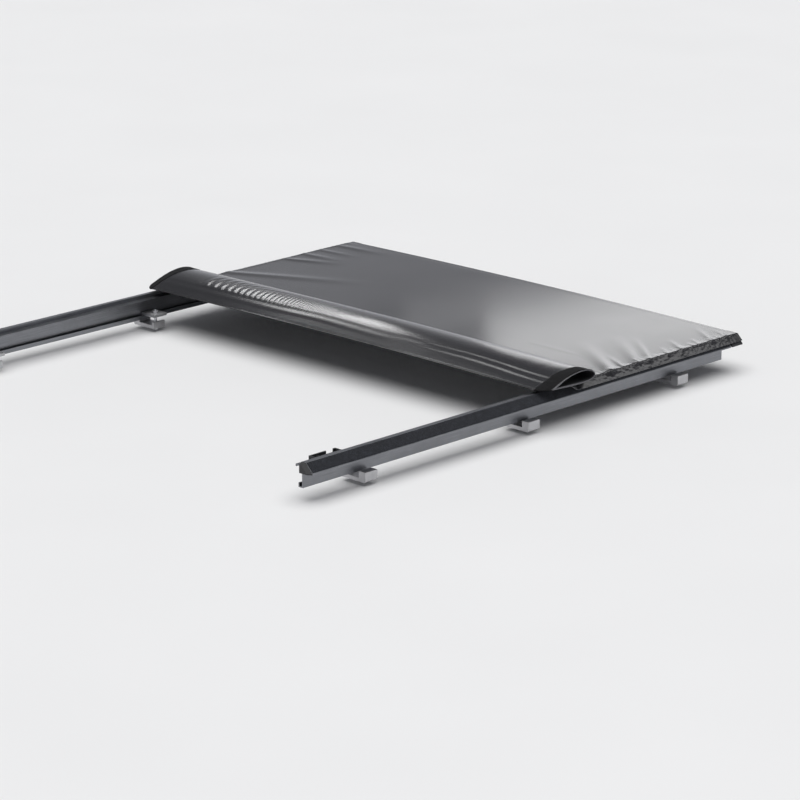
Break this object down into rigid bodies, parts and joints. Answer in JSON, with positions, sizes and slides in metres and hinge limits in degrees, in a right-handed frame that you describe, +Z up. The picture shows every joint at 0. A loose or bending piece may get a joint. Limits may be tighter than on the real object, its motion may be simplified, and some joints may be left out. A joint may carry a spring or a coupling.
{
  "type": "roll-up tonneau cover",
  "caption": "Soft vinyl cover for a pickup bed on clamped side rails, rolled up from the tail to the middle of the bed.",
  "frame": {"origin": "underside of the front header, in the middle of its width, where it rests on the bed's front wall", "axes": "+X to the right of the truck, +Y towards the cab, +Z up; z = 0 is the top of the truck's bed rails"},
  "size_m": [1.61, 1.7324, 0.1512],
  "materials": {
    "cover_vinyl": "glossy leather-grain vinyl",
    "rail_aluminium": "satin anodised, extruded",
    "bow_aluminium": "mill finish",
    "clamp_aluminium": "cast and tumbled",
    "hook_tape": "woven tape with a hook pile",
    "loop_tape": "woven tape with a loop pile",
    "strap_webbing": "ribbed nylon webbing",
    "seal_rubber": "matt sponge rubber",
    "black_plastic": "fine moulded grain",
    "lever_plastic": "smooth moulded",
    "zinc_steel": "bright zinc plate",
    "spring_steel": "drawn wire"
  },
  "bodies": {
    "root": {"front_bow": "bow_aluminium", "front_bow_ends": "black_plastic", "latch_pins": "zinc_steel", "rail_screws": "zinc_steel", "left_side_rail": "rail_aluminium", "left_hook_tape": "hook_tape", "left_rail_seal": "seal_rubber", "left_rear_end_cap": "black_plastic", "left_latch_housing": "black_plastic", "left_latch_spring": "spring_steel", "left_tension_block": "clamp_aluminium", "left_clamp_brackets": "clamp_aluminium", "right_side_rail": "rail_aluminium", "right_hook_tape": "hook_tape", "right_rail_seal": "seal_rubber", "right_rear_end_cap": "black_plastic", "right_latch_housing": "black_plastic", "right_latch_spring": "spring_steel", "right_tension_block": "clamp_aluminium", "right_clamp_brackets": "clamp_aluminium"},
    "header": {"front_header": "rail_aluminium", "header_seal": "seal_rubber", "header_screws": "zinc_steel", "cover_retainer": "rail_aluminium", "retainer_screws": "zinc_steel", "strap_anchors": "black_plastic", "cover_sheet": "cover_vinyl", "left_header_corner": "black_plastic", "left_loop_tape": "loop_tape", "left_storage_strap": "strap_webbing", "right_header_corner": "black_plastic", "right_loop_tape": "loop_tape", "right_storage_strap": "strap_webbing"},
    "roll": {"rolled_cover": "cover_vinyl", "tail_bar": "bow_aluminium", "tail_bar_ends": "black_plastic", "tail_seal": "seal_rubber", "middle_bow": "bow_aluminium", "rear_bow": "bow_aluminium", "rolled_bow_ends": "black_plastic", "left_roll_loop_tape": "loop_tape", "right_roll_loop_tape": "loop_tape"},
    "left_tension_screw": {"left_tension_screw": "zinc_steel"},
    "right_tension_screw": {"right_tension_screw": "zinc_steel"},
    "left_latch_lever": {"left_latch_lever": "lever_plastic"},
    "right_latch_lever": {"right_latch_lever": "lever_plastic"},
    "left_clamp_jaw_1": {"left_clamp_jaw_1": "clamp_aluminium"},
    "left_clamp_bolt_1": {"left_clamp_bolt_1": "zinc_steel"},
    "left_clamp_jaw_2": {"left_clamp_jaw_2": "clamp_aluminium"},
    "left_clamp_bolt_2": {"left_clamp_bolt_2": "zinc_steel"},
    "left_clamp_jaw_3": {"left_clamp_jaw_3": "clamp_aluminium"},
    "left_clamp_bolt_3": {"left_clamp_bolt_3": "zinc_steel"},
    "right_clamp_jaw_1": {"right_clamp_jaw_1": "clamp_aluminium"},
    "right_clamp_bolt_1": {"right_clamp_bolt_1": "zinc_steel"},
    "right_clamp_jaw_2": {"right_clamp_jaw_2": "clamp_aluminium"},
    "right_clamp_bolt_2": {"right_clamp_bolt_2": "zinc_steel"},
    "right_clamp_jaw_3": {"right_clamp_jaw_3": "clamp_aluminium"},
    "right_clamp_bolt_3": {"right_clamp_bolt_3": "zinc_steel"}
  },
  "joints": [
    {"name": "header_tension", "type": "slide", "parent": "root", "child": "header", "axis": [0, 1, 0], "range_m": [-0.006, 0.006]},
    {"name": "cover_roll_travel", "type": "slide", "parent": "header", "child": "roll", "axis": [0, 1, 0], "range_m": [-0.85, 0.565], "deforming": ["cover_sheet", "left_loop_tape", "right_loop_tape"]},
    {"name": "left_tension_turn", "type": "hinge", "parent": "header", "child": "left_tension_screw", "pos_m": [-0.748, -0.0335, 0.0072], "axis": [0, 1, 0], "range_deg": [-1730, 1730]},
    {"name": "right_tension_turn", "type": "hinge", "parent": "header", "child": "right_tension_screw", "pos_m": [0.748, -0.0335, 0.0072], "axis": [0, 1, 0], "range_deg": [-1730, 1730]},
    {"name": "left_latch_release", "type": "hinge", "parent": "root", "child": "left_latch_lever", "pos_m": [-0.7465, -1.612, 0.014], "axis": [1, 0, 0], "range_deg": [0, 18], "stiffness_Nm_per_rad": 0.06, "springref_deg": -20.05, "deforming": ["left_latch_spring"]},
    {"name": "right_latch_release", "type": "hinge", "parent": "root", "child": "right_latch_lever", "pos_m": [0.7465, -1.612, 0.014], "axis": [1, 0, 0], "range_deg": [0, 18], "stiffness_Nm_per_rad": 0.06, "springref_deg": -20.05, "deforming": ["right_latch_spring"]},
    {"name": "left_clamp_grip_1", "type": "slide", "parent": "root", "child": "left_clamp_jaw_1", "axis": [0, 0, 1], "range_m": [-0.016, 0.008]},
    {"name": "left_clamp_turn_1", "type": "hinge", "parent": "left_clamp_jaw_1", "child": "left_clamp_bolt_1", "pos_m": [-0.722, -0.25, -0.066], "axis": [0, 0, 1], "range_deg": [-4611, 2307]},
    {"name": "left_clamp_grip_2", "type": "slide", "parent": "root", "child": "left_clamp_jaw_2", "axis": [0, 0, 1], "range_m": [-0.016, 0.008]},
    {"name": "left_clamp_turn_2", "type": "hinge", "parent": "left_clamp_jaw_2", "child": "left_clamp_bolt_2", "pos_m": [-0.722, -0.87, -0.066], "axis": [0, 0, 1], "range_deg": [-4611, 2307]},
    {"name": "left_clamp_grip_3", "type": "slide", "parent": "root", "child": "left_clamp_jaw_3", "axis": [0, 0, 1], "range_m": [-0.016, 0.008]},
    {"name": "left_clamp_turn_3", "type": "hinge", "parent": "left_clamp_jaw_3", "child": "left_clamp_bolt_3", "pos_m": [-0.722, -1.49, -0.066], "axis": [0, 0, 1], "range_deg": [-4611, 2307]},
    {"name": "right_clamp_grip_1", "type": "slide", "parent": "root", "child": "right_clamp_jaw_1", "axis": [0, 0, 1], "range_m": [-0.016, 0.008]},
    {"name": "right_clamp_turn_1", "type": "hinge", "parent": "right_clamp_jaw_1", "child": "right_clamp_bolt_1", "pos_m": [0.722, -0.25, -0.066], "axis": [0, 0, 1], "range_deg": [-4611, 2307]},
    {"name": "right_clamp_grip_2", "type": "slide", "parent": "root", "child": "right_clamp_jaw_2", "axis": [0, 0, 1], "range_m": [-0.016, 0.008]},
    {"name": "right_clamp_turn_2", "type": "hinge", "parent": "right_clamp_jaw_2", "child": "right_clamp_bolt_2", "pos_m": [0.722, -0.87, -0.066], "axis": [0, 0, 1], "range_deg": [-4611, 2307]},
    {"name": "right_clamp_grip_3", "type": "slide", "parent": "root", "child": "right_clamp_jaw_3", "axis": [0, 0, 1], "range_m": [-0.016, 0.008]},
    {"name": "right_clamp_turn_3", "type": "hinge", "parent": "right_clamp_jaw_3", "child": "right_clamp_bolt_3", "pos_m": [0.722, -1.49, -0.066], "axis": [0, 0, 1], "range_deg": [-4611, 2307]}
  ],
  "couplings": [
    {"joint": "left_tension_turn", "follows": "header_tension", "rad_per_m": 5026.5},
    {"joint": "right_tension_turn", "follows": "header_tension", "rad_per_m": 5026.5},
    {"joint": "left_clamp_turn_1", "follows": "left_clamp_grip_1", "rad_per_m": 5026.5},
    {"joint": "left_clamp_turn_2", "follows": "left_clamp_grip_2", "rad_per_m": 5026.5},
    {"joint": "left_clamp_turn_3", "follows": "left_clamp_grip_3", "rad_per_m": 5026.5},
    {"joint": "right_clamp_turn_1", "follows": "right_clamp_grip_1", "rad_per_m": 5026.5},
    {"joint": "right_clamp_turn_2", "follows": "right_clamp_grip_2", "rad_per_m": 5026.5},
    {"joint": "right_clamp_turn_3", "follows": "right_clamp_grip_3", "rad_per_m": 5026.5}
  ]
}
